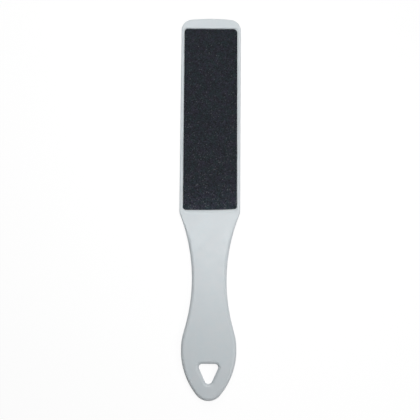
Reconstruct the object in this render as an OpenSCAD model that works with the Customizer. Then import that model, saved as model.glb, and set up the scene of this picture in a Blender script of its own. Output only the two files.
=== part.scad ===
/* [Head] */
// Length of the head, from its top end down to the shoulders
head_l = 135.5; // [110:0.1:160]
// Width of the head
head_w = 41.1; // [34:0.1:50]
// Thickness of the head, without its sheets
head_t = 4.2; // [3.4:0.1:6]
// Radius of the bow in the head's top end
crown_r = 136; // [60:1:300]
// Radius of the head's two top corners, seen from the front
head_corner_r = 7.7; // [2:0.1:12]
// Radius of the shoulders, seen from the front
shoulder_r = 7.9; // [2:0.1:16]
// Rounding of the head's edges
head_edge_r = 0.7; // [0.4:0.1:1.2]

/* [Grip] */
// Length over which the neck draws in, from the shoulders to the top of the waist
neck_l = 22.6; // [14:0.1:32]
// Length of the waist
waist_l = 37.6; // [26:0.1:52]
// Length over which the grip swells, from the waist to the bulb
swell_l = 25.6; // [16:0.1:36]
// Length of the bulb's broad stretch
bulb_l = 20.7; // [12:0.1:30]
// Length from the bulb's broad stretch to the end of the grip
end_l = 18; // [14:0.1:28]
// Width of the waist
waist_w = 23.3; // [18:0.1:30]
// Width of the bulb
bulb_w = 36.8; // [30:0.1:44]
// Thickness of the grip
grip_t = 4.9; // [4:0.1:8]
// Radius of the hollow where the neck meets the waist, seen from the front
neck_r = 120; // [40:1:160]
// Radius of the hollow where the waist meets the swell, seen from the front
waist_r = 116; // [40:1:160]
// Radius where the swell meets the bulb, seen from the front
bulb_top_r = 38; // [15:0.5:60]
// Radius where the bulb turns in towards the end, seen from the front
bulb_bottom_r = 45.5; // [15:0.5:60]
// Radius of the end of the grip, seen from the front
tip_r = 10.2; // [7:0.1:13]
// Rounding of the grip's edges
grip_edge_r = 2.2; // [0.6:0.1:3]

/* [Hang hole] */
// Width of the hole's triangle, between the sharp corners of its top side
hole_w = 15.3; // [11:0.1:17]
// Length of the hole, from its top side to its rounded point
hole_l = 13; // [9:0.1:15]
// Plastic left between the hole's point and the end of the grip
hole_wall = 11; // [8:0.1:14]
// Radius of the hole's two top corners
hole_corner_r = 2.2; // [1:0.1:3]
// Radius of the hole's point
hole_point_r = 2.6; // [1:0.1:3.5]
// Rounding of the hole's rim on both faces
hole_rim_r = 2.2; // [0.5:0.1:2.5]

/* [Abrasive sheets] */
// Depth of the shallow bed that each sheet lies in
bed_depth = 0.6; // [0.3:0.05:1.2]
// Plastic rim on each side of a bed
side_rim_w = 1.7; // [1.4:0.05:4]
// Plastic rim between a bed and the middle of the head's top end
top_rim_w = 6.9; // [4:0.1:12]
// Plastic between a bed and the shoulders
neck_rim_w = 0.4; // [0.3:0.1:6]
// Gap between a sheet and its bed, at the sides and the top
sheet_gap = 0.6; // [0.2:0.05:1.2]
// Gap between a sheet and its bed, at the lower end
sheet_end_gap = 1.4; // [0.2:0.05:3]
// Radius of a sheet's corners
sheet_corner_r = 2; // [0.5:0.1:6]
// Thickness of the glue film under each sheet
adhesive_t = 0.15; // [0.05:0.05:0.4]
// Thickness of the paper backing of each sheet
backing_t = 0.45; // [0.2:0.05:1]
// Thickness of the coarse grit coat on the front
front_grit_t = 0.5; // [0.2:0.05:1]
// Thickness of the fine grit coat on the rear
rear_grit_t = 0.4; // [0.2:0.05:1]

/* [Hidden] */
$fn = 64;

handle_colour = [0.82, 0.85, 0.86];
adhesive_colour = [0.84, 0.80, 0.66];
backing_colour = [0.25, 0.24, 0.23];
front_grit_colour = [0.17, 0.18, 0.20];
rear_grit_colour = [0.24, 0.25, 0.27];

// Cuts run this far past the faces that they open
overrun = 0.5;
// How far a facet of the moulding may lie inside its true curve
facet_sag = 0.015;
// The widest turn that one facet of a curve may take, in degrees
facet_turn = 9;
// Facets across the rounding of an edge or of the hole's rim
edge_facets = 6;
// Part of the head's half width that the bow of its top end takes up
crown_share = 0.67;
// Part of a straight stretch that the rounds at its two ends may use up
round_share = 0.98;
// Part of half the local thickness that an edge's rounding may use up
edge_share = 0.9;

// The origin lies under the middle of the part's outline, on the surface that it rests on.
// +Y points to the head's top end and +Z out of the front sheet.
part_l = head_l + neck_l + waist_l + swell_l + bulb_l + end_l;
top_y = part_l / 2;
shoulder_y = top_y - head_l;
waist_top_y = shoulder_y - neck_l;
waist_bottom_y = waist_top_y - waist_l;
bulb_top_y = waist_bottom_y - swell_l;
bulb_bottom_y = bulb_top_y - bulb_l;
end_y = bulb_bottom_y - end_l;

// The moulding is the same on both sides of this height
rear_proud = adhesive_t + backing_t + rear_grit_t - bed_depth;
mid_z = max(head_t / 2 + rear_proud, head_t / 2, grip_t / 2);
front_bed_z = mid_z + head_t / 2 - bed_depth;
rear_bed_z = mid_z - head_t / 2 + bed_depth;

bed_w = head_w - 2 * side_rim_w;
bed_l = head_l - top_rim_w - neck_rim_w;
bed_y = top_y - top_rim_w - bed_l / 2;
bed_corner_r = sheet_corner_r + sheet_gap;
sheet_w = bed_w - 2 * sheet_gap;
sheet_l = bed_l - sheet_gap - sheet_end_gap;
sheet_y = top_y - top_rim_w - sheet_gap - sheet_l / 2;

// The bow of the top end, and the sharp corner that it would have with the head's side
crown_reach = crown_share * head_w / 2;
crown_lean = asin(crown_reach / crown_r);
crown_drop = crown_r * (1 - cos(crown_lean)) + (head_w / 2 - crown_reach) * tan(crown_lean);

hole_bottom_y = end_y + hole_wall;
hole_top_y = hole_bottom_y + hole_l;
rim_r = min(hole_rim_r, edge_share * grip_t / 2);

// Along an outline each place is [x, y, a], where a is the direction that faces out of it.
// An outline runs from its top middle down the right-hand side to its bottom middle.
function direction(angle) = [cos(angle), sin(angle)];
function heading(from, to) = atan2(to.y - from.y, to.x - from.x);
function gap(from, to) = norm([to.x - from.x, to.y - from.y]);
function facets(r, turn) = max(2, ceil(turn / min(facet_turn, 2 * acos(1 - facet_sag / r))));
function arc(centre, r, first, last) =
    let (count = facets(r, abs(last - first)))
    [for (i = [0 : count])
        let (angle = first + (last - first) * i / count)
        [centre.x + r * cos(angle), centre.y + r * sin(angle), angle]];

// The round that joins a side coming in with heading h0 to one going out with heading h1
function corner_round(corner, r, h0, h1) =
    let (
        side = sign(h1 - h0),
        start = [corner.x, corner.y] - r * tan(abs(h1 - h0) / 2) * direction(h0),
        centre = start + side * r * direction(h0 + 90),
        count = facets(r, abs(h1 - h0))
    )
    [for (i = [0 : count])
        let (normal = h0 + 90 + (h1 - h0) * i / count)
        [centre.x - side * r * cos(normal), centre.y - side * r * sin(normal), normal]];

// The place where a line from a corner runs onto the round end below it
function end_touch(corner, bottom_y, r) =
    let (
        centre = [0, bottom_y + r],
        normal = heading(centre, corner) - acos(r / gap(centre, corner))
    )
    [centre.x + r * cos(normal), centre.y + r * sin(normal), normal];

// The right half of an outline: its first places, then corners as [x, y, r], then a round end.
// Where two rounds would need more than the side between them, both are made smaller.
function half_outline(start, corners, bottom_y, bottom_r) =
    let (
        last = len(corners) - 1,
        touch = end_touch(corners[last], bottom_y, bottom_r),
        path = concat([start[len(start) - 1]], corners, [touch]),
        ways = [for (i = [0 : last + 1]) heading(path[i], path[i + 1])],
        sides = [for (i = [0 : last + 1]) gap(path[i], path[i + 1])],
        wants = concat([0], [for (i = [0 : last]) corners[i].z * tan(abs(ways[i + 1] - ways[i]) / 2)], [0]),
        fits = [for (i = [0 : last + 1]) round_share * sides[i] / (wants[i] + wants[i + 1])],
        rounds = [for (i = [0 : last]) corners[i].z * min(1, fits[i], fits[i + 1])]
    )
    concat(
        start,
        [for (i = [0 : last]) each corner_round(corners[i], rounds[i], ways[i], ways[i + 1])],
        arc([0, bottom_y + bottom_r], bottom_r, touch.z, -90)
    );

// How far the section has changed from the head's to the grip's: 0 on the head, 1 on the grip
function neck_share(y) =
    let (u = max(0, min(1, (shoulder_y - y) / neck_l)))
    u * u * (3 - 2 * u);
function half_thickness(y) = (head_t + (grip_t - head_t) * neck_share(y)) / 2;
function edge_round(y) =
    min(head_edge_r + (grip_edge_r - head_edge_r) * neck_share(y), edge_share * half_thickness(y));

// A half outline moved in by inset, at a height, and made whole with its mirror image
function moved(place, inset, z) =
    [place.x - inset * cos(place.z), place.y - inset * sin(place.z), z];
function whole(right) =
    concat(right, [for (i = [len(right) - 2 : -1 : 1]) [-right[i].x, right[i].y, right[i].z]]);

handle_half = half_outline(
    arc([0, top_y - crown_r], crown_r, 90, 90 - crown_lean),
    [
        [head_w / 2, top_y - crown_drop, head_corner_r],
        [head_w / 2, shoulder_y, shoulder_r],
        [waist_w / 2, waist_top_y, neck_r],
        [waist_w / 2, waist_bottom_y, waist_r],
        [bulb_w / 2, bulb_top_y, bulb_top_r],
        [bulb_w / 2, bulb_bottom_y, bulb_bottom_r]
    ],
    end_y,
    tip_r
);

hole_half = half_outline([[0, hole_top_y, 90]], [[hole_w / 2, hole_top_y, hole_corner_r]], hole_bottom_y, hole_point_r);

// One ring of the moulding, on the rounding of its front edge (side 1) or its rear edge (side -1)
function handle_ring(side, angle) = whole([
    for (place = handle_half)
        let (r = edge_round(place.y))
        moved(place, r * (1 - cos(angle)), side * (half_thickness(place.y) - r * (1 - sin(angle))))
]);

// One ring of the hole, on the rounding of its front rim (side 1) or its rear rim (side -1)
function hole_ring(side, angle) = whole([
    for (place = hole_half)
        moved(place, -rim_r * (1 - cos(angle)), side * (grip_t / 2 - rim_r * (1 - sin(angle))))
]);
// The ring that takes the hole out past a face
function hole_mouth(side) = whole([
    for (place = hole_half) moved(place, -rim_r - overrun, side * (grip_t / 2 + overrun))
]);

// A solid through rings of equal length, from the lowest to the highest, closed at both ends
// with strips that run straight across
module loft(rings) {
    count = len(rings[0]);
    half = count / 2;
    top = (len(rings) - 1) * count;
    sides = [
        for (low = [0 : count : top - 1], i = [0 : count - 1])
            let (next = (i + 1) % count, high = low + count)
            each [[low + i, low + next, high + next], [low + i, high + next, high + i]]
    ];
    strips = concat(
        [for (i = [0 : half - 2]) [i, i + 1, count - i - 1]],
        [for (i = [1 : half - 1]) [i, count - i - 1, count - i]]
    );
    lid = [for (face = strips) [for (i = face) top + i]];
    base = [for (face = strips) [face[2], face[1], face[0]]];
    polyhedron([for (ring = rings) each ring], concat(sides, lid, base));
}

// A flat rectangle with round corners, centred on the origin
module round_rectangle(w, l, r) {
    square([w, l - 2 * r], center = true);
    square([w - 2 * r, l], center = true);
    for (x = [-1, 1], y = [-1, 1]) {
        translate([x * (w / 2 - r), y * (l / 2 - r)]) circle(r);
    }
}

// The space of a sheet's bed, from a height upwards
module bed(z) {
    translate([0, bed_y, z]) {
        linear_extrude(bed_depth + overrun) round_rectangle(bed_w, bed_l, bed_corner_r);
    }
}

// One layer of a sheet, with its lower face at a height
module sheet_layer(z, thickness) {
    translate([0, sheet_y, z]) {
        linear_extrude(thickness) round_rectangle(sheet_w, sheet_l, sheet_corner_r);
    }
}

// The outside of the moulding, before the beds and the hole are cut
module handle_blank() {
    steps = [for (i = [0 : edge_facets]) 90 * i / edge_facets];
    translate([0, 0, mid_z]) {
        loft(concat(
            [for (i = [edge_facets : -1 : 0]) handle_ring(-1, steps[i])],
            [for (angle = steps) handle_ring(1, angle)]
        ));
    }
}

// The hang hole, with a rolled rim on both faces. The last facet of each rim is left to the mouth,
// which runs out past the face.
module hang_hole() {
    steps = [for (i = [0 : edge_facets - 1]) 90 * i / (edge_facets - 0.5)];
    translate([0, 0, mid_z]) {
        loft(concat(
            [hole_mouth(-1)],
            [for (i = [edge_facets - 1 : -1 : 0]) hole_ring(-1, steps[i])],
            [for (angle = steps) hole_ring(1, angle)],
            [hole_mouth(1)]
        ));
    }
}

// The one-piece moulding: head, neck, grip and hang hole
module handle() {
    color(handle_colour) {
        difference() {
            handle_blank();
            bed(front_bed_z);
            bed(rear_bed_z - bed_depth - overrun);
            hang_hole();
        }
    }
}

module front_adhesive() {
    color(adhesive_colour) sheet_layer(front_bed_z, adhesive_t);
}

module front_backing() {
    color(backing_colour) sheet_layer(front_bed_z + adhesive_t, backing_t);
}

module front_grit() {
    color(front_grit_colour) sheet_layer(front_bed_z + adhesive_t + backing_t, front_grit_t);
}

module rear_adhesive() {
    color(adhesive_colour) sheet_layer(rear_bed_z - adhesive_t, adhesive_t);
}

module rear_backing() {
    color(backing_colour) sheet_layer(rear_bed_z - adhesive_t - backing_t, backing_t);
}

module rear_grit() {
    color(rear_grit_colour) sheet_layer(rear_bed_z - adhesive_t - backing_t - rear_grit_t, rear_grit_t);
}

handle();
front_adhesive();
front_backing();
front_grit();
rear_adhesive();
rear_backing();
rear_grit();
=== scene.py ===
"""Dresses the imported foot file: its plastic moulding, its two abrasive sheets and a plain studio.

Sizes are in metres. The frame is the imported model's: the part lies on its rear sheet, +Y points to
the head's top end and +Z out of the front sheet.
"""

import logging
import math
import random
from collections.abc import Callable, Sequence
from dataclasses import dataclass, field
from enum import Enum
from typing import Any

import bmesh
import bpy
from bpy.types import Material, Node, NodeSocket, Object, World
from mathutils import Matrix, Vector


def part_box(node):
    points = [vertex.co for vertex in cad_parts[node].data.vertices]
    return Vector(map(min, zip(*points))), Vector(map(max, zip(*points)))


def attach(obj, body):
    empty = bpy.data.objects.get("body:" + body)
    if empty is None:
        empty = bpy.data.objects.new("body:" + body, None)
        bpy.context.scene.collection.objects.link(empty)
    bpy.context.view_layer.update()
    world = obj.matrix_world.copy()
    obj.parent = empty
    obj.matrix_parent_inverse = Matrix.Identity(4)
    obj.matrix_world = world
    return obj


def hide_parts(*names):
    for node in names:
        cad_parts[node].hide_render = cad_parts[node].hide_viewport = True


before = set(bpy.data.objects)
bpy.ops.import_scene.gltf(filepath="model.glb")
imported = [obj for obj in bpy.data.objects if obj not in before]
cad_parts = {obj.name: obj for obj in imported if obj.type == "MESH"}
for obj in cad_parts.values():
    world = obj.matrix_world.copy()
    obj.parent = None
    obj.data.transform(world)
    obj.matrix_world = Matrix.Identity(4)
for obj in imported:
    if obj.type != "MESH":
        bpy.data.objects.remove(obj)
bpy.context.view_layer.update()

LOG = logging.getLogger("foot_file")
MM = 0.001
BODY = "root"
Colour = tuple[float, float, float]

# Places nearer to each other than a hair count as the same.
HAIR = 0.01 * MM
# A face lies flat where its normal's Z, up or down, is over FLAT, and is a wall where it is under WALL.
FLAT = 0.9
WALL = 0.3
# Scales a radius down a little, so that two rounds that share a flat don't quite meet.
JUST_UNDER = 0.9999


class Side(Enum):
    """A face of the file, by the way it looks along Z."""

    FRONT = 1
    REAR = -1

    @property
    def word(self) -> str:
        """The word that starts the names of this side's pieces."""
        return self.name.lower()


class Pick(Enum):
    """A kind of mesh element, by the select mode that shows it."""

    POINTS = "VERT"
    EDGES = "EDGE"
    FACES = "FACE"


def smooth_step(share: float) -> float:
    """Eases a share from 0 to 1, level at both ends."""
    share = max(0.0, min(1.0, share))
    return share * share * (3 - 2 * share)


def only(piece: Object) -> None:
    """Deselects everything, then selects one piece and makes it active.

    Args:
        piece: The object to select.
    """
    bpy.ops.object.select_all(action="DESELECT")
    piece.select_set(True)
    bpy.context.view_layer.objects.active = piece


def start(primitive: Callable[..., Any], name: str, **settings: Any) -> Object:
    """Adds a primitive to begin a piece from, with nothing else selected.

    Args:
        primitive: The operator that adds it.
        name: The name of the object and of its mesh.
        **settings: The operator's settings.

    Returns:
        The new object.
    """
    bpy.ops.object.select_all(action="DESELECT")
    primitive(**settings)
    piece = bpy.context.object
    piece.name = name
    piece.data.name = name
    return piece


def modify(piece: Object, kind: str, **settings: Any) -> None:
    """Adds a modifier to a piece, sets it and applies it.

    Args:
        piece: The object to shape.
        kind: The modifier's type.
        **settings: The modifier's settings.
    """
    only(piece)
    modifier = piece.modifiers.new(kind.lower(), kind)
    for name, value in settings.items():
        setattr(modifier, name, value)
    bpy.ops.object.modifier_apply(modifier=modifier.name)


def cut_away(piece: Object, tool: Object) -> None:
    """Cuts the space of a closed tool out of a piece and throws the tool away."""
    modify(piece, "BOOLEAN", operation="DIFFERENCE", solver="EXACT", object=tool)
    bpy.data.objects.remove(tool, do_unlink=True)


@dataclass(frozen=True)
class Corner:
    """A corner of a flat outline and the round that it gets, on both sides of the middle line.

    Attributes:
        x: Half the width at the corner.
        y: The corner's place along the file.
        turn: The angle, in degrees, by which the outline turns there.
        radius: The radius of the round.
    """

    x: float
    y: float
    turn: float
    radius: float


class Bench:
    """One piece in edit mode, worked on with its elements picked by place or by normal.

    Attributes:
        SAG: How far a facet may lie from the arc that it stands for.
        WIDEST_TURN: The widest turn, in degrees, from one facet of an arc to the next.
        REACH: How near its place a corner's point is looked for.
    """

    SAG = 0.004 * MM
    WIDEST_TURN = 6.0
    REACH = 0.02 * MM

    def __init__(self, piece: Object) -> None:
        """Takes the piece that is to be worked on."""
        self.piece = piece

    def __enter__(self) -> "Bench":
        """Puts the piece in edit mode, alone.

        Returns:
            This bench.
        """
        only(self.piece)
        bpy.ops.object.mode_set(mode="EDIT")
        return self

    def __exit__(self, *_: Any) -> None:
        """Takes the piece out of edit mode."""
        bpy.ops.object.mode_set(mode="OBJECT")

    def everything(self) -> None:
        """Selects the whole piece."""
        bpy.ops.mesh.select_all(action="SELECT")

    def pick(self, kind: Pick, test: Callable[[Any], bool]) -> None:
        """Selects the elements that pass a test, and nothing else.

        Args:
            kind: The kind of element.
            test: Says whether an element is wanted.
        """
        bpy.ops.mesh.select_mode(type=kind.value)
        bpy.ops.mesh.select_all(action="DESELECT")
        mesh = bmesh.from_edit_mesh(self.piece.data)
        kinds = {Pick.POINTS: mesh.verts, Pick.EDGES: mesh.edges, Pick.FACES: mesh.faces}
        for element in filter(test, kinds[kind]):
            element.select_set(True)
        mesh.select_flush_mode()
        bmesh.update_edit_mesh(self.piece.data)

    def move(self, x: float = 0, y: float = 0, z: float = 0) -> None:
        """Moves what is selected."""
        bpy.ops.transform.translate(value=(x, y, z))

    def scale(
        self,
        x: float = 1,
        y: float = 1,
        z: float = 1,
        at: Sequence[float] = (0, 0, 0),
    ) -> None:
        """Scales what is selected about a point."""
        bpy.ops.transform.resize(value=(x, y, z), center_override=at)

    def extrude(self, x: float = 0, y: float = 0, z: float = 0) -> None:
        """Extrudes what is selected, as a region."""
        bpy.ops.mesh.extrude_region_move(TRANSFORM_OT_translate={"value": (x, y, z)})

    def slice(
        self,
        at: Sequence[float],
        normal: Sequence[float],
        clear: bool = False,
        snap: float = SAG / 10,
    ) -> None:
        """Cuts the piece with a plane, through points within snap; clear drops the normal's side."""
        self.everything()
        bpy.ops.mesh.bisect(plane_co=at, plane_no=normal, clear_outer=clear, threshold=snap)

    def round_corner(self, corner: Corner) -> None:
        """Rounds a corner of a flat outline to a true arc, on both sides of the middle line.

        Args:
            corner: The corner, with its radius and the angle by which the outline turns there.
        """
        half = math.radians(corner.turn) / 2
        step = min(self.WIDEST_TURN, math.degrees(2 * math.acos(1 - self.SAG / corner.radius)))
        # How far the arc's middle stays off the corner along both edges, in offsets.
        middle = 0.5 / (1 + math.cos(half))
        self.pick(
            Pick.POINTS,
            lambda p: abs(abs(p.co.x) - corner.x) < self.REACH and abs(p.co.y - corner.y) < self.REACH,
        )
        bpy.ops.mesh.bevel(
            affect="VERTICES",
            offset_type="OFFSET",
            offset=corner.radius * math.tan(half),
            profile=(1 - middle) ** 2,
            segments=max(2, math.ceil(corner.turn / step)),
            clamp_overlap=False,
        )

    def merge(self, within: float = SAG / 2) -> None:
        """Merges points that all but touch, over the whole piece."""
        self.everything()
        bpy.ops.mesh.remove_doubles(threshold=within)

    def even_normals(self) -> None:
        """Turns every face outwards."""
        self.everything()
        bpy.ops.mesh.normals_make_consistent(inside=False)


def finish_smooth(piece: Object, angle: float) -> None:
    """Shades a piece smooth up to an angle, with its broad flats kept flat.

    Args:
        piece: The object to shade.
        angle: The widest angle, in degrees, between two faces that still shade as one.
    """
    only(piece)
    bpy.ops.object.shade_smooth_by_angle(angle=math.radians(angle))
    modify(piece, "WEIGHTED_NORMAL", keep_sharp=True, weight=100)


def place(piece: Object, node: str, slot: str, finish: Material) -> None:
    """Gives a finished piece its material, and its place in the frame.

    Args:
        piece: The finished object.
        node: The CAD node that it stands for.
        slot: The record's material slot that its finish answers to; it is not used.
        finish: Its material.
    """
    piece.data.materials.clear()
    piece.data.materials.append(finish)
    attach(piece, BODY)
    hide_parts(node)


class Recipe:
    """The node graph of one material, or of the world, built node by node."""

    def __init__(self, owner: Material | World, output: str = "OutputMaterial") -> None:
        """Empties the graph but for its output.

        Args:
            owner: The new material or world that the graph belongs to.
            output: The type of its output node, without the ShaderNode prefix.
        """
        owner.use_nodes = True
        self.owner = owner
        self.tree = owner.node_tree
        self.tree.nodes.clear()
        self.output = self.node(output)

    def node(self, kind: str, feeds: dict[str | int, Any] | None = None, **settings: Any) -> Node:
        """Adds a node.

        Args:
            kind: The node's type, without the ShaderNode prefix.
            feeds: What each input gets, by its name or number: a value, or another node's output.
            **settings: The node's own settings.

        Returns:
            The node.
        """
        node = self.tree.nodes.new(f"ShaderNode{kind}")
        for name, value in settings.items():
            setattr(node, name, value)
        for name, value in (feeds or {}).items():
            if isinstance(value, NodeSocket):
                self.tree.links.new(value, node.inputs[name])
            else:
                node.inputs[name].default_value = value
        return node

    def place(self) -> NodeSocket:
        """The place on the piece, in its own coordinates."""
        return self.node("TexCoord").outputs["Object"]

    def noise(
        self,
        grain: float,
        detail: float = 2.0,
        roughness: float = 0.5,
        at: NodeSocket | None = None,
    ) -> NodeSocket:
        """Soft noise on the piece.

        Args:
            grain: The size of its blobs.
            detail: How many finer layers it has.
            roughness: How strong the finer layers are.
            at: The place that it is read at, if that isn't simply the place on the piece.

        Returns:
            A value round 0.5.
        """
        feeds = {"Scale": 1 / grain, "Detail": detail, "Roughness": roughness}
        feeds["Vector"] = self.place() if at is None else at
        return self.node("TexNoise", feeds).outputs["Fac"]

    def spread(
        self,
        value: NodeSocket,
        lows: tuple[float, float],
        highs: tuple[float, float],
    ) -> NodeSocket:
        """Maps a range of a value onto another range.

        Args:
            value: The value.
            lows: The low end before and after.
            highs: The high end before and after.

        Returns:
            The mapped value, held within the new range.
        """
        feeds = {
            "Value": value,
            "From Min": lows[0],
            "From Max": highs[0],
            "To Min": lows[1],
            "To Max": highs[1],
        }
        return self.node("MapRange", feeds).outputs["Result"]

    def mix(self, share: NodeSocket, first: Any, second: Any) -> NodeSocket:
        """Mixes two colours.

        Args:
            share: How much of the second there is.
            first: The colour at 0.
            second: The colour at 1.

        Returns:
            The mixed colour.
        """
        feeds = {0: share}
        for socket, colour in ((6, first), (7, second)):
            feeds[socket] = colour if isinstance(colour, NodeSocket) else (*colour, 1.0)
        return self.node("Mix", feeds, data_type="RGBA").outputs[2]

    def bump(self, height: NodeSocket, depth: float, strength: float = 1.0) -> NodeSocket:
        """A normal bumped by a height from 0 to 1, where 1 stands as high as the depth."""
        feeds = {"Height": height, "Distance": depth, "Strength": strength}
        return self.node("Bump", feeds).outputs["Normal"]

    def end(self, shader: Node) -> Material | World:
        """Ends the graph in a shader and gives back what the graph belongs to."""
        self.tree.links.new(shader.outputs[0], self.output.inputs["Surface"])
        return self.owner

    def end_by_ray(self, lighting: Node, seen: Node) -> Material | World:
        """Ends the graph in two shaders, each for some of the rays.

        Args:
            lighting: The shader for rays that only light.
            seen: The shader for rays that show the background.

        Returns:
            The material or world that the graph belongs to.
        """
        path = self.node("LightPath")
        share = path.outputs["Is Camera Ray"]
        for ray in ("Is Glossy Ray", "Is Transmission Ray"):
            share = self.node("Math", {0: share, 1: path.outputs[ray]}, operation="MAXIMUM").outputs[0]
        feeds = {0: share, 1: lighting.outputs[0], 2: seen.outputs[0]}
        return self.end(self.node("MixShader", feeds))


@dataclass(frozen=True)
class SatinPlastic:
    """Pale, cool grey plastic from a mould with a fine matt texture.

    Attributes:
        colour: Its colour.
        cloud: The same colour where the pigment is a little thinner.
        cloud_size: The size of such a place.
        rough: Its roughness, from the most rubbed to the most matt places.
        rub_size: The size of a rubbed place.
        texture: The size of the mould's matt texture.
        texture_depth: How deep that texture is.
        gloss: How strongly it reflects.
    """

    colour: Colour = (0.637, 0.699, 0.729)
    cloud: Colour = (0.667, 0.708, 0.733)
    cloud_size: float = 8 * MM
    rough: tuple[float, float] = (0.30, 0.40)
    rub_size: float = 7 * MM
    texture: float = 0.35 * MM
    texture_depth: float = 0.012 * MM
    gloss: float = 0.35

    def material(self) -> Material:
        """Builds the material.

        Returns:
            The material.
        """
        recipe = Recipe(bpy.data.materials.new("satin_plastic"))
        clouds = recipe.noise(self.cloud_size, detail=6, roughness=0.7)
        clouds = recipe.spread(clouds, (0.35, 0), (0.65, 1))
        rubs = recipe.noise(self.rub_size, detail=4, roughness=0.6)
        matt = recipe.noise(self.texture, roughness=0.6)
        feeds = {
            "Base Color": recipe.mix(clouds, self.colour, self.cloud),
            "Roughness": recipe.spread(rubs, (0.35, self.rough[0]), (0.65, self.rough[1])),
            "Normal": recipe.bump(matt, self.texture_depth),
            "Specular IOR Level": self.gloss,
        }
        return recipe.end(recipe.node("BsdfPrincipled", feeds))


@dataclass(frozen=True)
class GlueFilm:
    """Clear, slightly yellow glue that shows as a thin line round a sheet.

    Attributes:
        colour: Its colour.
        aged: Its colour where it has yellowed.
        patch: The size of a yellowed patch.
        rough: Its roughness, from the smoothest to the dullest places.
        ripple: The size of its ripples.
        ripple_depth: How deep they are.
    """

    colour: Colour = (0.68, 0.66, 0.56)
    aged: Colour = (0.62, 0.56, 0.40)
    patch: float = 4 * MM
    rough: tuple[float, float] = (0.12, 0.30)
    ripple: float = 0.8 * MM
    ripple_depth: float = 0.02 * MM

    def material(self) -> Material:
        """Builds the material.

        Returns:
            The material.
        """
        recipe = Recipe(bpy.data.materials.new("glue_film"))
        patches = recipe.spread(recipe.noise(self.patch, detail=3), (0.4, 0), (0.6, 1))
        ripples = recipe.noise(self.ripple)
        feeds = {
            "Base Color": recipe.mix(patches, self.colour, self.aged),
            "Roughness": recipe.spread(ripples, (0.3, self.rough[0]), (0.7, self.rough[1])),
            "Normal": recipe.bump(ripples, self.ripple_depth),
        }
        return recipe.end(recipe.node("BsdfPrincipled", feeds))


@dataclass(frozen=True)
class BackingPaper:
    """Dense, dark paper that carries the grit, seen only at its cut edge.

    Attributes:
        colour: Its colour.
        fibre: The colour of its paler fibres.
        fibre_length: How long a fibre is along the paper.
        fibre_flatness: How many times thinner it is through the paper.
        fibre_depth: How far it stands out of the cut edge.
        rough: The roughness of the smoothest and the dullest fibres.
    """

    colour: Colour = (0.052, 0.050, 0.048)
    fibre: Colour = (0.115, 0.105, 0.092)
    fibre_length: float = 0.5 * MM
    fibre_flatness: float = 6.0
    fibre_depth: float = 0.03 * MM
    rough: tuple[float, float] = (0.75, 0.95)

    def material(self) -> Material:
        """Builds the material.

        Returns:
            The material.
        """
        recipe = Recipe(bpy.data.materials.new("backing_paper"))
        feeds = {"Vector": recipe.place(), "Scale": (1.0, 1.0, self.fibre_flatness)}
        flattened = recipe.node("Mapping", feeds).outputs["Vector"]
        fibres = recipe.noise(self.fibre_length, detail=4, roughness=0.7, at=flattened)
        pale = recipe.spread(fibres, (0.45, 0), (0.7, 1))
        feeds = {
            "Base Color": recipe.mix(pale, self.colour, self.fibre),
            "Roughness": recipe.spread(fibres, (0.3, self.rough[0]), (0.7, self.rough[1])),
            "Normal": recipe.bump(fibres, self.fibre_depth),
        }
        return recipe.end(recipe.node("BsdfPrincipled", feeds))


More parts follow.
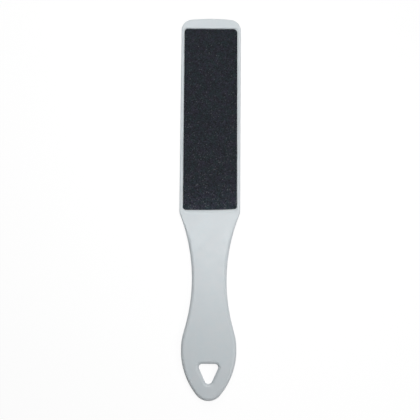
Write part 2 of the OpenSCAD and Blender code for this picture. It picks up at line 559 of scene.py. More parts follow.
@dataclass(frozen=True)
class GritFinish:
    """Crystals of abrasive in dark resin.

    Attributes:
        name: The material's name.
        resin: The colour of the resin and the darkest crystals.
        cool: The colour of the bluer crystals.
        warm: The colour of the browner crystals.
        bright: The colour of the few pale crystals.
        grain: The size of a crystal.
        drift_grains: The size of a patch of like crystals, in crystals.
        dark_share: The share of crystals that stay dark at the sheet's lower end and at its top; fewer at
            the lower end is painted sheen.
        wear: How many times lighter the coat is at its lower end, a painted sheen.
        wear_length: How far up the sheet the painted sheen reaches.
        wear_curve: How steeply the painted sheen fades; 1 is an even fade.
        rough: The roughness of the glossiest and the dullest crystals.
        gloss: How strongly the crystals reflect.
        facet_depth: How deep the grooves between the crystals are.
        facet_strength: How much of them shows.
    """

    name: str
    resin: Colour
    cool: Colour
    warm: Colour
    bright: Colour
    grain: float
    drift_grains: float = 8
    dark_share: tuple[float, float] = (0.95, 0.95)
    wear: float = 1.0
    wear_length: float = 27 * MM
    wear_curve: float = 2.0
    rough: tuple[float, float] = (0.28, 0.65)
    gloss: float = 0.09
    facet_depth: float = 0.05 * MM
    facet_strength: float = 0.6

    def material(self, bottom: float, top: float) -> Material:
        """Builds the material.

        Args:
            bottom: The place of the sheet's lower end along the file.
            top: The place where the share of dark crystals stops growing.

        Returns:
            The material.
        """
        recipe = Recipe(bpy.data.materials.new(self.name))
        feeds = {"Vector": recipe.place(), "Scale": 1 / self.grain, "Randomness": 1.0}
        cells = recipe.node("TexVoronoi", feeds)
        chance = recipe.node("SeparateColor", {"Color": cells.outputs["Color"]})
        drift = recipe.noise(self.drift_grains * self.grain, detail=4, roughness=0.7)
        crystal = recipe.mix(recipe.spread(drift, (0.42, 0), (0.58, 1)), self.cool, self.warm)
        clear = recipe.spread(chance.outputs["Red"], (0.1, 0), (0.9, 1))
        body = recipe.mix(clear, self.resin, crystal)
        along = recipe.node("SeparateXYZ", {"Vector": recipe.place()}).outputs["Y"]
        dark = recipe.spread(along, (bottom, self.dark_share[0]), (top, self.dark_share[1]))
        pale = recipe.spread(chance.outputs["Green"], (dark, 0), (1.0, 1))
        colour = recipe.mix(pale, body, self.bright)
        # Painted sheen: the coat's colour is made lighter towards the sheet's lower end.
        worn = recipe.spread(along, (bottom, 1), (bottom + self.wear_length, 0))
        worn = recipe.node("Math", {0: worn, 1: self.wear_curve}, operation="POWER").outputs[0]
        sheen_lift = recipe.spread(worn, (0, 1), (1, self.wear))
        feeds = {
            "Base Color": recipe.node("HueSaturation", {"Value": sheen_lift, "Color": colour}).outputs[0],
            "Roughness": recipe.spread(chance.outputs["Blue"], (0, self.rough[0]), (1, self.rough[1])),
            "Normal": recipe.bump(cells.outputs["Distance"], self.facet_depth, self.facet_strength),
            "Specular IOR Level": self.gloss,
        }
        return recipe.end(recipe.node("BsdfPrincipled", feeds))


@dataclass
class Moulding:
    """The one-piece plastic moulding: head, neck, grip and hang hole.

    It is shaped about its own mid plane and lifted to its place at the end. Lengths run along the
    file; the whole length, the head's width and the grip's thickness are the CAD node's.

    Attributes:
        head_length: The head's length, down to its shoulders.
        head_thickness: The head's thickness.
        crown_radius: The radius of the bowed top end.
        crown_share: The share of the head's width that is bowed.
        head_corner_radius: The radius of the head's top corners.
        shoulder_radius: The radius of the shoulders.
        head_edge: The rounding of the head's edges.
        neck_length: The length over which the neck narrows and thickens.
        waist_length: The waist's length.
        swell_length: The length over which the waist widens to the bulb.
        bulb_length: The bulb's length, down to its lower round.
        waist_width: The waist's width.
        bulb_width: The bulb's width.
        neck_radius: The radius of the hollow between neck and waist.
        waist_radius: The radius of the hollow between waist and bulb.
        bulb_top_radius: The radius of the bulb's upper round.
        bulb_bottom_radius: The radius of its lower round.
        tip_radius: The radius of the tip.
        sliver: The length under which an edge between two rounds is merged away.
        grip_edge: The rounding of the grip's edges.
        ring_share: The width of the ring laid round a flat before its edge is rounded, in roundings.
        edge_segments: The facets across a rounded edge.
        ramp_cuts: The stretches of the neck between which its thickness grows.
        ramp_snap: How near a cut through the neck a point of the outline may lie to be used for it.
        flat_angle: The angle, in degrees, under which faces count as one flat.
        hole_width: The hang hole's width at its flat top.
        hole_length: Its length, from there to its point.
        hole_wall: The plastic between the hole's point and the tip.
        hole_corner_radius: The radius of its upper corners.
        hole_point_radius: The radius of its point.
        hole_rim: The radius of its rolled rims.
        hole_rim_segments: The facets across such a rim.
        bed_gap: The gap between a sheet and its bed, round the sides and the top.
        bed_end_gap: The gap at the sheet's lower end.
        bed_corner_radius: The radius of the bed's corners.
        bed_corner_segments: The facets round such a corner.
        bed_rim: The radius of the bed's rims.
        bed_rim_segments: The facets across such a rim.
        seam_height: Half the height of the parting line.
        seam_slope: How far its sides slope in, as a share of that height.
        seam_proud: How far it stands out of the wall.
        strip: The longest stretch of a flat between two cuts across it.
        smooth_angle: The widest angle, in degrees, between two faces that shade as one.
        finish: The finish of its plastic.
    """

    head_length: float = 135.5 * MM
    head_thickness: float = 4.2 * MM
    crown_radius: float = 136 * MM
    crown_share: float = 0.67
    head_corner_radius: float = 7.7 * MM
    shoulder_radius: float = 7.9 * MM
    head_edge: float = 0.7 * MM
    neck_length: float = 22.6 * MM
    waist_length: float = 37.6 * MM
    swell_length: float = 25.6 * MM
    bulb_length: float = 20.7 * MM
    waist_width: float = 23.3 * MM
    bulb_width: float = 36.8 * MM
    neck_radius: float = 120 * MM
    waist_radius: float = 116 * MM
    bulb_top_radius: float = 38 * MM
    bulb_bottom_radius: float = 45.5 * MM
    tip_radius: float = 10.2 * MM
    sliver: float = 0.08 * MM
    grip_edge: float = 2.2 * MM
    ring_share: float = 1.2
    edge_segments: int = 8
    ramp_cuts: int = 20
    ramp_snap: float = 0.15 * MM
    flat_angle: float = 0.05
    hole_width: float = 15.3 * MM
    hole_length: float = 13 * MM
    hole_wall: float = 11 * MM
    hole_corner_radius: float = 2.2 * MM
    hole_point_radius: float = 2.6 * MM
    hole_rim: float = 2.2 * MM
    hole_rim_segments: int = 8
    bed_gap: float = 0.6 * MM
    bed_end_gap: float = 1.4 * MM
    bed_corner_radius: float = 2.6 * MM
    bed_corner_segments: int = 12
    bed_rim: float = 0.18 * MM
    bed_rim_segments: int = 3
    seam_height: float = 0.05 * MM
    seam_slope: float = 0.6
    seam_proud: float = 0.04 * MM
    strip: float = 4.0 * MM
    smooth_angle: float = 30
    finish: SatinPlastic = field(default_factory=SatinPlastic)

    def __post_init__(self) -> None:
        """Works out the places that follow from the sizes and from the CAD node's box."""
        low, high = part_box("handle")
        self.width = high.x - low.x
        self.thickness = high.z - low.z
        self.middle = (low.z + high.z) / 2
        self.top = high.y
        self.end = low.y
        self.shoulder = self.top - self.head_length
        self.waist_top = self.shoulder - self.neck_length
        self.waist_bottom = self.waist_top - self.waist_length
        self.bulb_top = self.waist_bottom - self.swell_length
        self.bulb_bottom = self.bulb_top - self.bulb_length
        self.hole_bottom = self.end + self.hole_wall
        self.hole_top = self.hole_bottom + self.hole_length
        lean = math.asin(self.crown_share * self.width / 2 / self.crown_radius)
        reach = self.crown_radius * math.sin(lean)
        drop = self.crown_radius * (1 - math.cos(lean)) + (self.width / 2 - reach) * math.tan(lean)
        self.crown_lean = math.degrees(lean)
        self.crown_top = self.top + self.crown_radius * (1 / math.cos(lean) - 1)
        self.side_top = self.top - drop
        tip_length = self.bulb_bottom - self.end
        self.tip_flat, self.tip_turn = self.round_end(self.bulb_width / 2, tip_length, self.tip_radius)

    @staticmethod
    def round_end(half_width: float, height: float, radius: float) -> tuple[float, float]:
        """Finds the flat that a tapered end has before its two corners become one round.

        Args:
            half_width: Half the width where the taper starts.
            height: The distance from there to the end.
            radius: The radius of the round end.

        Returns:
            Half the width of the flat, and the angle in degrees by which each corner turns.
        """
        start_corner = Vector((half_width, height - radius))
        lean = math.atan2(start_corner.y, start_corner.x) - math.acos(radius / start_corner.length)
        turn = lean + math.pi / 2
        return radius * math.tan(turn / 2), math.degrees(turn)

    def build(self) -> Object:
        """Shapes the moulding, finishes it and puts it in the CAD node's place.

        Returns:
            The finished piece.
        """
        piece = self.outline()
        self.thicken(piece)
        self.round_edges(piece)
        for side in Side:
            cut_away(piece, self.bed_tool(side))
        cut_away(piece, self.hole_tool())
        self.round_rims(piece)
        self.part_flats(piece)
        self.draw_seam(piece)
        with Bench(piece) as bench:
            bench.even_normals()
            bench.move(z=self.middle)
        finish_smooth(piece, self.smooth_angle)
        place(piece, "handle", "handle_plastic", self.finish.material())
        return piece

    def outline(self) -> Object:
        """Draws the moulding's outline as one flat face.

        Returns:
            The object, with the true rounds of the outline.
        """
        stretches = (
            (self.waist_top, self.waist_width),
            (self.waist_bottom, self.waist_width),
            (self.bulb_top, self.bulb_width),
            (self.bulb_bottom, self.bulb_width),
            (self.end, 2 * self.tip_flat),
        )
        piece = start(bpy.ops.mesh.primitive_plane_add, "handle_moulding", size=1)
        with Bench(piece) as bench:
            bench.scale(self.width, self.side_top - self.shoulder)
            bench.move(y=(self.side_top + self.shoulder) / 2)
            bench.pick(Pick.POINTS, lambda p: p.co.y < 0)
            y, width = self.shoulder, self.width
            for next_y, next_width in stretches:
                bench.extrude(y=next_y - y)
                bench.scale(x=next_width / width)
                y, width = next_y, next_width
            bench.pick(Pick.EDGES, lambda e: all(p.co.y > self.side_top - MM for p in e.verts))
            bpy.ops.mesh.subdivide(number_cuts=1)
            bench.pick(Pick.POINTS, lambda p: p.co.y > self.side_top - MM and abs(p.co.x) < MM)
            bench.move(y=self.crown_top - self.side_top)
            bpy.ops.mesh.select_mode(type=Pick.FACES.value)
            bench.everything()
            bpy.ops.mesh.dissolve_faces()
            for corner in self.corners():
                bench.round_corner(corner)
            bench.merge(within=self.sliver)
        return piece

    def corners(self) -> list[Corner]:
        """Lists the corners of the outline with their rounds.

        Returns:
            The corners, from the top end to the tip.
        """
        neck = math.degrees(math.atan((self.width - self.waist_width) / 2 / self.neck_length))
        swell = math.degrees(math.atan((self.bulb_width - self.waist_width) / 2 / self.swell_length))
        waist, bulb = self.waist_width / 2, self.bulb_width / 2
        return [
            Corner(0, self.crown_top, 2 * self.crown_lean, self.crown_radius),
            Corner(self.width / 2, self.side_top, 90 - self.crown_lean, self.head_corner_radius),
            Corner(self.width / 2, self.shoulder, neck, self.shoulder_radius),
            Corner(waist, self.waist_top, neck, self.neck_radius),
            Corner(waist, self.waist_bottom, swell, self.waist_radius),
            Corner(bulb, self.bulb_top, swell, self.bulb_top_radius),
            Corner(bulb, self.bulb_bottom, 90 - self.tip_turn, self.bulb_bottom_radius),
            Corner(self.tip_flat, self.end, self.tip_turn, self.tip_radius * JUST_UNDER),
        ]

    def thicken(self, piece: Object) -> None:
        """Gives the outline its thickness, which grows through the neck from the head's to the grip's.

        Args:
            piece: The flat outline.
        """
        with Bench(piece) as bench:
            for cut in range(self.ramp_cuts + 1):
                y = self.shoulder - self.neck_length * cut / self.ramp_cuts
                bench.slice((0, y, 0), (0, 1, 0), snap=self.ramp_snap)
            bench.everything()
            bench.move(z=-self.head_thickness / 2)
            bench.extrude(z=self.head_thickness)
            bench.pick(Pick.POINTS, lambda p: p.co.y < self.shoulder - self.neck_length + HAIR)
            bpy.ops.transform.resize(
                value=(1, 1, self.thickness / self.head_thickness),
                center_override=(0, 0, 0),
                use_proportional_edit=True,
                proportional_edit_falloff="SMOOTH",
                proportional_size=self.neck_length,
            )
            bench.even_normals()

    def edge_share(self, y: float) -> float:
        """The edge's rounding at a place along the file, as a share of the grip's."""
        share = smooth_step((self.shoulder - y) / self.neck_length)
        return (self.head_edge + (self.grip_edge - self.head_edge) * share) / self.grip_edge

    def round_edges(self, piece: Object) -> None:
        """Rounds the long edges, small on the head and full on the grip.

        Args:
            piece: The moulding.
        """
        with Bench(piece) as bench:
            bench.pick(Pick.FACES, lambda f: abs(f.normal.z) > FLAT)
            ring = self.ring_share * self.grip_edge
            bpy.ops.mesh.inset(thickness=ring, depth=0, use_boundary=True, use_even_offset=True)
            mesh = bmesh.from_edit_mesh(piece.data)
            weights = mesh.edges.layers.float.get("bevel_weight_edge")
            if weights is None:
                weights = mesh.edges.layers.float.new("bevel_weight_edge")
            for edge in mesh.edges:
                slopes = sorted(abs(face.normal.z) for face in edge.link_faces)
                if slopes[0] < WALL and slopes[-1] > FLAT:
                    edge[weights] = self.edge_share(sum(p.co.y for p in edge.verts) / 2)
            bmesh.update_edit_mesh(piece.data)
        modify(
            piece,
            "BEVEL",
            limit_method="WEIGHT",
            offset_type="OFFSET",
            width=self.grip_edge,
            segments=self.edge_segments,
            use_clamp_overlap=False,
        )
        with Bench(piece) as bench:
            bench.pick(Pick.FACES, lambda f: abs(f.normal.z) > FLAT)
            bpy.ops.mesh.dissolve_limited(angle_limit=math.radians(self.flat_angle))
            bench.slice((0, 0, 0), (1, 0, 0))

    def bed_tool(self, side: Side) -> Object:
        """Makes the block that cuts the bed of one sheet.

        Args:
            side: The face that the bed is in.

        Returns:
            The block, which stands out past the head's face.
        """
        low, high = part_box(f"{side.word}_adhesive")
        floor = (low.z if side is Side.FRONT else high.z) - self.middle
        bottom, top = low.y - self.bed_end_gap, high.y + self.bed_gap
        width = high.x - low.x + 2 * self.bed_gap
        depth = self.head_thickness
        tool = start(bpy.ops.mesh.primitive_cube_add, "bed_tool", size=1)
        with Bench(tool) as bench:
            bench.scale(width, top - bottom, depth)
            bench.move(y=(top + bottom) / 2, z=floor + side.value * depth / 2)
            bench.pick(Pick.EDGES, lambda e: abs(e.verts[0].co.z - e.verts[1].co.z) > depth / 2)
            bpy.ops.mesh.bevel(
                offset=self.bed_corner_radius,
                segments=self.bed_corner_segments,
                clamp_overlap=False,
            )
        return tool

    def hole_tool(self) -> Object:
        """Makes the rounded triangular plug that cuts the hang hole.

        Returns:
            The plug, which stands out past both faces of the grip.
        """
        flat, turn = self.round_end(self.hole_width / 2, self.hole_length, self.hole_point_radius)
        tool = start(bpy.ops.mesh.primitive_plane_add, "hole_tool", size=1)
        with Bench(tool) as bench:
            bench.scale(self.hole_width, self.hole_length)
            bench.move(y=(self.hole_top + self.hole_bottom) / 2)
            bench.pick(Pick.POINTS, lambda p: p.co.y < self.hole_bottom + MM)
            bench.scale(x=2 * flat / self.hole_width)
            for corner in (
                Corner(self.hole_width / 2, self.hole_top, 180 - turn, self.hole_corner_radius),
                Corner(flat, self.hole_bottom, turn, self.hole_point_radius * JUST_UNDER),
            ):
                bench.round_corner(corner)
            bench.merge()
            bench.move(z=-self.thickness)
            bench.extrude(z=2 * self.thickness)
            bench.even_normals()
        return tool

    def on_rim(self, edge: Any, height: float, bottom: float, top: float) -> bool:
        """Says whether an edge is the sharp rim of an opening in one of the flat faces.

        Args:
            edge: The edge.
            height: The distance of that face from the mid plane.
            bottom: The lowest place of the opening along the file.
            top: Its highest place.

        Returns:
            True if the edge joins the face to the opening's wall.
        """
        flat = all(abs(abs(p.co.z) - height) < HAIR for p in edge.verts)
        near = all(bottom - HAIR < p.co.y < top + HAIR for p in edge.verts)
        slopes = sorted(abs(face.normal.z) for face in edge.link_faces)
        return flat and near and slopes[0] < WALL and slopes[-1] > FLAT

    def round_rims(self, piece: Object) -> None:
        """Rolls the rims of the hang hole and breaks the sharp rims of the beds.

        Args:
            piece: The moulding, with its openings cut.
        """
        low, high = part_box("front_adhesive")
        bed = (self.head_thickness / 2, low.y - self.bed_end_gap, high.y + self.bed_gap)
        hole = (self.thickness / 2, self.hole_bottom, self.hole_top)
        rims = (
            (hole, self.hole_rim, self.hole_rim_segments),
            (bed, self.bed_rim, self.bed_rim_segments),
        )
        with Bench(piece) as bench:
            for rim, radius, segments in rims:
                bench.pick(Pick.EDGES, lambda e: self.on_rim(e, *rim))
                bpy.ops.mesh.bevel(offset=radius, segments=segments, clamp_overlap=False)

    def part_flats(self, piece: Object) -> None:
        """Cuts the long flats across, so that none of their faces is long or bent round an opening.

        Args:
            piece: The moulding.
        """
        with Bench(piece) as bench:
            for first, last in ((self.shoulder - self.neck_length, self.end), (self.shoulder, self.top)):
                count = math.ceil(abs(last - first) / self.strip)
                for cut in range(1, count):
                    bench.slice((0, first + (last - first) * cut / count, 0), (0, 1, 0))

    def on_seam(self, face: Any) -> bool:
        """Says whether a face is part of the parting line.

        Args:
            face: The face.

        Returns:
            True if it lies in the line's band and on the outer wall, not in the hang hole.
        """
        centre = face.calc_center_median()
        across = abs(centre.x) < self.hole_width / 2 + MM
        along = self.hole_bottom - MM < centre.y < self.hole_top + MM
        upright = abs(face.normal.z) < WALL
        return upright and abs(centre.z) < self.seam_height / 2 and not (across and along)

    def draw_seam(self, piece: Object) -> None:
        """Raises the faint line round the outer wall where the mould's halves met.

        Args:
            piece: The moulding.
        """
        with Bench(piece) as bench:
            for height in (-self.seam_height, self.seam_height):
                bench.slice((0, 0, height), (0, 0, 1))
            bench.pick(Pick.FACES, self.on_seam)
            slope = self.seam_height * self.seam_slope
            bpy.ops.mesh.inset(thickness=slope, depth=self.seam_proud, use_even_offset=True)
            bench.everything()
            # Scaled so that the raised line stays inside the CAD node's box.
            width = self.width / (self.width + 2 * self.seam_proud)
            length = (self.top - self.end) / (self.top - self.end + 2 * self.seam_proud)
            bench.scale(width, length)


@dataclass(frozen=True)
class Grit:
    """The make of one grit coat.

    Attributes:
        slot: The record's material slot that it answers to.
        finish: Its crystals' and resin's colours.
        pitch: The distance between the points of its surface.
        jitter: How far those points stray.
        relief: How high its clusters of grains stand.
        cluster: The size of a cluster.
        seed: The start of its random numbers.
        crystals: How many large single crystals stand out of it.
        crystal_size: The size of the smallest and the largest of them.
        grain_shares: The size and the relief of the grains in a cluster, as shares of the cluster's.
        crystal_shape: A crystal's size along its three axes, as shares.
        crystal_stray: How far its corners stray, as a share of its size.
        crystal_heights: How far up the coat the middles of the crystals lie, as shares.
    """

    slot: str
    finish: GritFinish
    pitch: float
    jitter: float
    relief: float
    cluster: float
    seed: int
    crystals: int = 0
    crystal_size: tuple[float, float] = (0.16 * MM, 0.30 * MM)
    grain_shares: tuple[float, float] = (0.5, 0.6)
    crystal_shape: tuple[float, float, float] = (1, 0.75, 0.9)
    crystal_stray: float = 0.45
    crystal_heights: tuple[float, float] = (0.45, 0.6)


COARSE = Grit(
    slot="coarse_grit",
    finish=GritFinish(
        name="coarse_grit",
        resin=(0.002, 0.003, 0.005),
        cool=(0.0130, 0.0232, 0.0280),
        warm=(0.0215, 0.0210, 0.0350),
        bright=(0.066, 0.069, 0.075),
        grain=0.55 * MM,
        # Painted sheen: fewer dark crystals and a lighter coat at the sheet's lower end.
        dark_share=(0.91, 0.96),
        wear=1.85,
    ),
    pitch=0.27 * MM,
    jitter=0.11 * MM,
    relief=0.16 * MM,
    cluster=1.1 * MM,
    seed=11,
    crystals=1400,
)
FINE = Grit(
    slot="fine_grit",
    finish=GritFinish(
        name="fine_grit",
        resin=(0.030, 0.032, 0.036),
        cool=(0.042, 0.050, 0.060),
        warm=(0.056, 0.053, 0.055),
        bright=(0.120, 0.122, 0.128),
        grain=0.22 * MM,
    ),
    pitch=0.30 * MM,
    jitter=0.05 * MM,
    relief=0.06 * MM,
    cluster=0.8 * MM,
    seed=23,
)


@dataclass
class AbrasiveSheet:
    """One abrasive sheet: glue film, paper and grit coat, cut to one outline by hand.

    Attributes:
        side: The face of the head that it is glued to.
        grit: The make of its grit coat.
        corner_radius: The radius of its lower corners.
        top_radii: The radii of its top corners, left and right as one looks at the sheet.
        top_trim: How much was cut off its top end.
        bow_radius: The radius of the bowed cut at its lower end.
        bow_middle: The place across the sheet where that cut is lowest.
        turn: The turn of the sheet in its bed, in degrees.
        shift: How far it is stuck off the middle.
        fray: How far its cut edge strays.
        worn_share: The share of its length, from its lower end, over which pale crystals get fewer, a
            painted sheen.
        paper_pitch: The distance between the points of the film's and the paper's outer faces.
        corner_cuts: The straight cuts that round a corner.
        bow_cuts: The straight cuts that bow the lower end.
    """

    side: Side
    grit: Grit
    corner_radius: float = 2.0 * MM
    top_radii: tuple[float, float] = (2.3 * MM, 2.7 * MM)
    top_trim: float = 0.12 * MM
    bow_radius: float = 430 * MM
    bow_middle: float = -8.0 * MM
    turn: float = 0.12
    shift: float = -0.05 * MM
    fray: float = 0.05 * MM
    worn_share: float = 0.6
    paper_pitch: float = 0.7 * MM
    corner_cuts: int = 6
    bow_cuts: int = 9

    def build(self) -> list[Object]:
        """Builds the three layers and puts them in place of the CAD sheet's.

        Returns:
            The glue film, the paper and the grit coat.
        """
        film = self.slab("glue_film", "adhesive", self.paper_pitch)
        paper = self.slab("backing_paper", "backing", self.paper_pitch)
        coat = self.slab(self.grit.slot, "grit", self.grit.pitch)
        self.scatter_crystals(coat)
        self.level(coat)
        finishes = (
            (film, "adhesive", "adhesive_film", GlueFilm().material()),
            (paper, "backing", "backing_paper", BackingPaper().material()),
            (coat, "grit", self.grit.slot, self.grit.finish.material(*self.worn())),
        )
        for piece, layer, slot, finish in finishes:
            only(piece)
            bpy.ops.object.shade_flat()
            place(piece, self.node(layer), slot, finish)
        return [film, paper, coat]

    def node(self, layer: str) -> str:
        """The CAD node of one layer."""
        return f"{self.side.word}_{layer}"

    def worn(self) -> tuple[float, float]:
        """The stretch along the file, from its lower end up, over which the painted sheen of pale
        crystals fades.
        """
        low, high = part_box(self.node("grit"))
        return low.y, low.y + self.worn_share * (high.y - low.y)

    def heights(self, layer: str) -> tuple[float, float]:
        """The heights of a layer's inner face, towards the moulding, and of its outer face."""
        low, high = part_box(self.node(layer))
        return (low.z, high.z) if self.side is Side.FRONT else (high.z, low.z)

    def slab(self, name: str, layer: str, pitch: float) -> Object:
        """Cuts one layer to the sheet's outline.

        Args:
            name: The last words of the piece's name.
            layer: The last word of its CAD node.
            pitch: The distance between the points of its outer face.

        Returns:
            The closed layer; the grit coat's outer face is rough.
        """
        low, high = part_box(self.node(layer))
        inner, outer = self.heights(layer)
        width, length = high.x - low.x, high.y - low.y
        slab = start(
            bpy.ops.mesh.primitive_grid_add,
            f"{self.side.word}_{name}",
            size=1,
            x_subdivisions=round(width / pitch),
            y_subdivisions=round(length / pitch),
        )
        with Bench(slab) as bench:
            bench.scale(width, length)
            bench.move(y=(low.y + high.y) / 2, z=outer)
            self.trim(bench, low, high)
            self.fray_edge(bench, outer)
            if layer == "grit":
                bench.everything()
                bpy.ops.transform.vertex_random(offset=self.grit.jitter, uniform=0.2, seed=self.grit.seed)
        if layer == "grit":
            self.raise_clusters(slab)
        with Bench(slab) as bench:
            bench.pick(Pick.EDGES, lambda e: e.is_boundary)
            bench.extrude(z=inner - outer)
            bench.scale(z=0, at=(0, 0, inner))
            bpy.ops.mesh.edge_face_add()
            bench.everything()
            turn = math.radians(self.turn) * self.side.value
            middle = (0, (low.y + high.y) / 2, 0)
            bpy.ops.transform.rotate(value=-turn, orient_axis="Z", center_override=middle)
            bench.move(x=self.shift * self.side.value)
            bench.even_normals()
        return slab

    def trim(self, bench: Bench, low: Vector, high: Vector) -> None:
        """Cuts the sheet's top end, its rounded corners and the bowed cut at its lower end.

        Args:
            bench: The bench that holds the flat grid.
            low: The lowest corner of the layer's box.
            high: The highest corner of that box.
        """
        radius, middle = self.corner_radius, self.bow_middle * self.side.value
        bow_top = low.y + self.bow_radius
        inset = high.x - radius
        top = high.y - self.top_trim
        bench.slice((0, top, high.z), (0, 1, 0), clear=True)
        arcs = []
        for way, top_radius in zip((-self.side.value, self.side.value), self.top_radii):
            x, y = way * (high.x - top_radius), top - top_radius
            arcs.append((x, y, top_radius, 45 - 45 * way, 135 - 45 * way, self.corner_cuts))
        leans = []
        for x, side_angle in ((-inset, 180), (inset, 360)):
            y = bow_top - math.sqrt((self.bow_radius - radius) ** 2 - (x - middle) ** 2)
            lean = math.degrees(math.atan2(y - bow_top, x - middle)) + 360
            arcs.append((x, y, radius, min(side_angle, lean), max(side_angle, lean), self.corner_cuts))
            leans.append(lean)
        arcs.append((middle, bow_top, self.bow_radius, *leans, self.bow_cuts))
        for x, y, arc_radius, first, last, cuts in arcs:
            for cut in range(cuts):
                angle = math.radians(first + (last - first) * (cut + 0.5) / cuts)
                normal = Vector((math.cos(angle), math.sin(angle), 0))
                bench.slice(Vector((x, y, high.z)) + arc_radius * normal, normal, clear=True)

    def fray_edge(self, bench: Bench, height: float) -> None:
        """Makes the cut edge of a flat layer stray a little, within its plane.

        Args:
            bench: The bench that holds the layer.
            height: The height of the layer's plane.
        """
        bench.pick(Pick.POINTS, lambda p: p.is_boundary)
        bpy.ops.transform.vertex_random(offset=self.fray, uniform=0.0, seed=self.grit.seed + 1)
        bench.scale(z=0, at=(0, 0, height))

    def raise_clusters(self, coat: Object) -> None:
        """Raises the coat's clusters of grains.

        Args:
            coat: The flat grit coat.
        """
        for kind, size_share, share in (("CLOUDS", 1.0, 1.0), ("VORONOI", *self.grit.grain_shares)):
            texture = bpy.data.textures.new(f"{coat.name}_{kind.lower()}", kind)
            texture.noise_scale = self.grit.cluster * size_share
            modify(
                coat,
                "DISPLACE",
                texture=texture,
                texture_coords="LOCAL",
                direction="Z",
                mid_level=0.5,
                strength=self.side.value * share * self.grit.relief,
            )

    def scatter_crystals(self, coat: Object) -> None:
        """Sets large single crystals in the coat, as copies of one shard.

        Args:
            coat: The closed grit coat.
        """
        if not self.grit.crystals:
            return
        chance = random.Random(self.grit.seed)
        low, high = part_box(self.node("grit"))
        inner, outer = self.heights("grit")
        shard = start(bpy.ops.mesh.primitive_ico_sphere_add, "crystal", subdivisions=1, radius=1)
        with Bench(shard) as bench:
            bench.everything()
            bench.scale(*self.grit.crystal_shape)
            stray = self.grit.crystal_stray
            bpy.ops.transform.vertex_random(offset=stray, uniform=0.0, seed=self.grit.seed)
        crystals = []
        margin = self.corner_radius / 2
        for _ in range(self.grit.crystals):
            size = chance.uniform(*self.grit.crystal_size)
            x = chance.uniform(low.x + margin, high.x - margin)
            y = chance.uniform(low.y + 2 * margin, high.y - 2 * margin)
            z = inner + (outer - inner) * chance.uniform(*self.grit.crystal_heights)
            spin = Matrix.Rotation(chance.uniform(0, math.tau), 4, "Z")
            roll = Matrix.Rotation(chance.uniform(0, math.tau), 4, "X")
            crystal = shard.data.copy()
            crystal.transform(Matrix.Translation((x, y, z)) @ (spin @ roll) @ Matrix.Scale(size, 4))
            crystals.append(bpy.data.objects.new("crystal", crystal))
            bpy.context.scene.collection.objects.link(crystals[-1])
        bpy.data.objects.remove(shard, do_unlink=True)
        only(coat)
        for crystal in crystals:
            crystal.select_set(True)
        bpy.ops.object.join()

    def level(self, coat: Object) -> None:
        """Scales the coat's height so that its highest grains reach the CAD coat's face.

        Args:
            coat: The finished grit coat.
        """
        inner, outer = self.heights("grit")
        reach = max((p.co.z - inner) * self.side.value for p in coat.data.vertices)
        with Bench(coat) as bench:
            bench.everything()
            bench.scale(z=abs(outer - inner) / reach, at=(0, 0, inner))


@dataclass(frozen=True)
class SoftLamp:
    """A square soft lamp that hangs over the file.

    Attributes:
        name: The lamp's name.
        place: Where it hangs.
        size: The length of its sides.
        power: Its power in watts.
    """

    name: str
    place: tuple[float, float, float]
    size: float
    power: float

    def hang(self, aim: Vector) -> None:
        """Makes the lamp and turns it towards a point.

        Args:
            aim: The point that it lights.
        """
        data = bpy.data.lights.new(self.name, "AREA")
        data.size = self.size
        data.energy = self.power
        lamp = bpy.data.objects.new(self.name, data)
        lamp.location = self.place
        lamp.rotation_euler = (Vector(self.place) - aim).to_track_quat("Z", "Y").to_euler()
        bpy.context.scene.collection.objects.link(lamp)


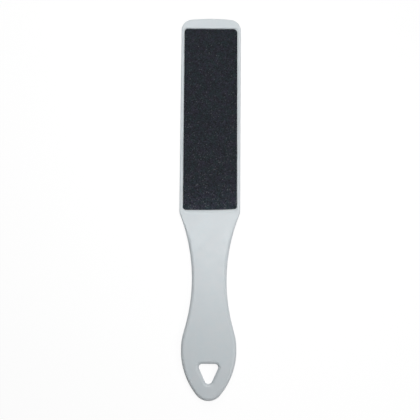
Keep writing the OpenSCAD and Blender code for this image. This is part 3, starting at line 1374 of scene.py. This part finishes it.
@dataclass
class Studio:
    """The plain pale floor, the soft lamps and the camera.

    Attributes:
        floor_size: The length of the floor's sides.
        floor_tone: How pale the floor is to the light that falls on it.
        shadow_tone: How much of that light the eye sees, so that the floor keeps the shadow.
        floor_glow: The even white that the eye sees on the floor besides.
        fill: The strength of the even light from all round.
        lamps: The soft lamps.
        aim: The point that the camera looks at, across and along the file.
        distance: The camera's distance from that point.
        tilt: How far the camera leans towards the grip, in degrees.
        roll: How far it is turned about its own line of sight, in degrees.
        lens: Its focal length.
    """

    floor_size: float = 8.0
    floor_tone: float = 0.8
    shadow_tone: float = 0.14
    floor_glow: float = 0.9
    fill: float = 0.03
    lamps: tuple[SoftLamp, ...] = (
        SoftLamp("side_lamp", (0.34, -0.22, 0.38), 0.25, 0.79),
        SoftLamp("head_lamp", (-0.05, 0.30, 0.30), 0.25, 0.69),
        SoftLamp("near_lamp", (0.02, 0.01, 0.30), 0.12, 0.37),
    )
    aim: tuple[float, float] = (0.151 * MM, -3.465 * MM)
    distance: float = 500 * MM
    tilt: float = 6.267
    roll: float = 0.465
    lens: float = 63.292

    def set_up(self) -> None:
        """Lays the floor, hangs the lamps and sets up the camera."""
        bpy.context.scene.view_settings.view_transform = "Standard"
        self.lay_floor()
        self.light_world()
        for lamp in self.lamps:
            lamp.hang(Vector((0, 0, 0)))
        self.place_camera()

    def lay_floor(self) -> None:
        """Lays the floor: white to the eye, with the file's faint shadow."""
        floor = start(bpy.ops.mesh.primitive_plane_add, "floor", size=self.floor_size)
        recipe = Recipe(bpy.data.materials.new("floor"))
        lit, shadow = (
            recipe.node("BsdfDiffuse", {"Color": (tone, tone, tone, 1)})
            for tone in (self.floor_tone, self.shadow_tone)
        )
        white = recipe.node("Emission", {"Strength": self.floor_glow})
        shown = recipe.node("AddShader", {0: shadow.outputs[0], 1: white.outputs[0]})
        floor.data.materials.append(recipe.end_by_ray(lit, shown))

    def light_world(self) -> None:
        """Makes the even light from all round, and the white that is seen behind the file."""
        recipe = Recipe(bpy.data.worlds.new("studio"), "OutputWorld")
        fill, white = (
            recipe.node("Background", {"Strength": strength, "Color": (1, 1, 1, 1)})
            for strength in (self.fill, 1.0)
        )
        bpy.context.scene.world = recipe.end_by_ray(fill, white)

    def place_camera(self) -> None:
        """Puts the camera over the file, a little towards the grip, and makes it the scene's."""
        data = bpy.data.cameras.new("camera")
        data.lens = self.lens
        camera = bpy.data.objects.new("camera", data)
        bpy.context.scene.collection.objects.link(camera)
        low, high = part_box("handle")
        lean = Matrix.Rotation(math.radians(self.tilt), 4, "X")
        turn = Matrix.Rotation(math.radians(self.roll), 4, "Z")
        aim = Matrix.Translation((*self.aim, (low.z + high.z) / 2))
        camera.matrix_world = aim @ (lean @ turn) @ Matrix.Translation((0, 0, self.distance))
        bpy.context.scene.camera = camera


def main() -> None:
    """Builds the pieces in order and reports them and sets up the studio."""
    logging.basicConfig(level=logging.INFO, format="%(message)s")
    pieces = [Moulding().build()]
    for side, grit in ((Side.FRONT, COARSE), (Side.REAR, FINE)):
        pieces += AbrasiveSheet(side, grit).build()
    for piece in pieces:
        LOG.info("%s: %d faces", piece.name, len(piece.data.polygons))
    Studio().set_up()


if __name__ == "__main__":
    main()
